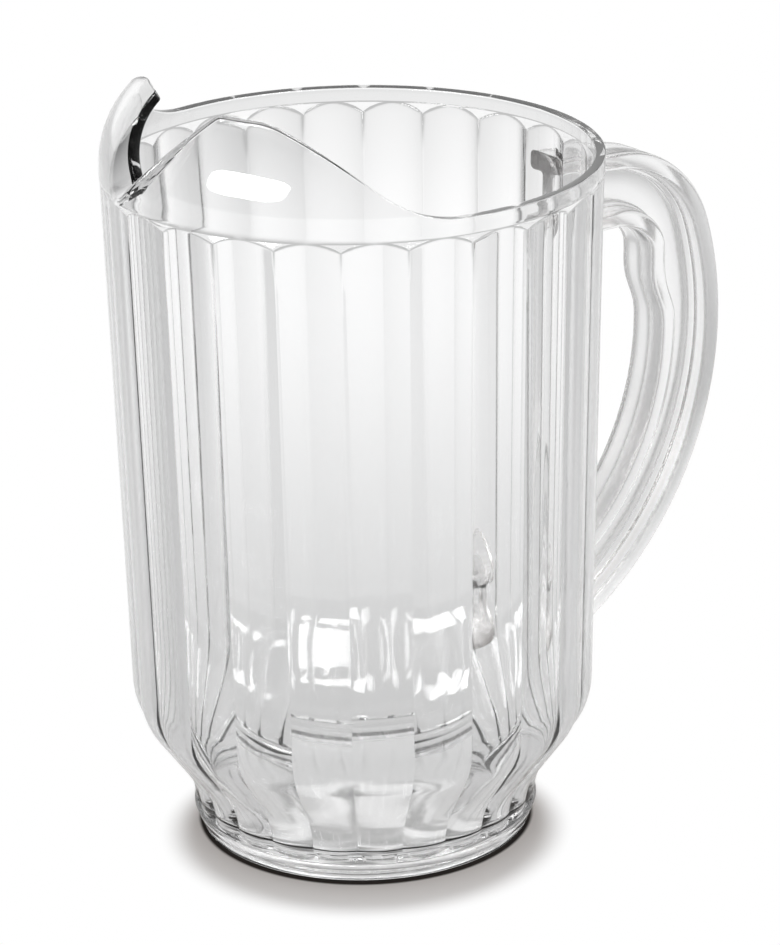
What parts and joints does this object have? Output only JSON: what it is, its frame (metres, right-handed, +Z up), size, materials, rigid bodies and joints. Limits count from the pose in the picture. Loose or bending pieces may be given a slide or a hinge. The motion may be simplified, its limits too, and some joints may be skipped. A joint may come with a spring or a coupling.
{
  "type": "beer pitcher",
  "caption": "Clear plastic beer pitcher with a reeded wall, a drawn-in foot, a hooded three-way pouring rim and an I-section loop handle.",
  "frame": {"origin": "the centre of the foot ring on the table, on the body's axis", "axes": "+Z up along the body's axis, +X towards the handle, -X towards the front pouring slot, +Y across"},
  "size_m": [0.1951, 0.1344, 0.2145],
  "materials": {
    "clear_plastic": "clear, glossy, lightly scuffed from use"
  },
  "bodies": {
    "root": {"body": "clear_plastic", "handle": "clear_plastic"}
  },
  "joints": []
}
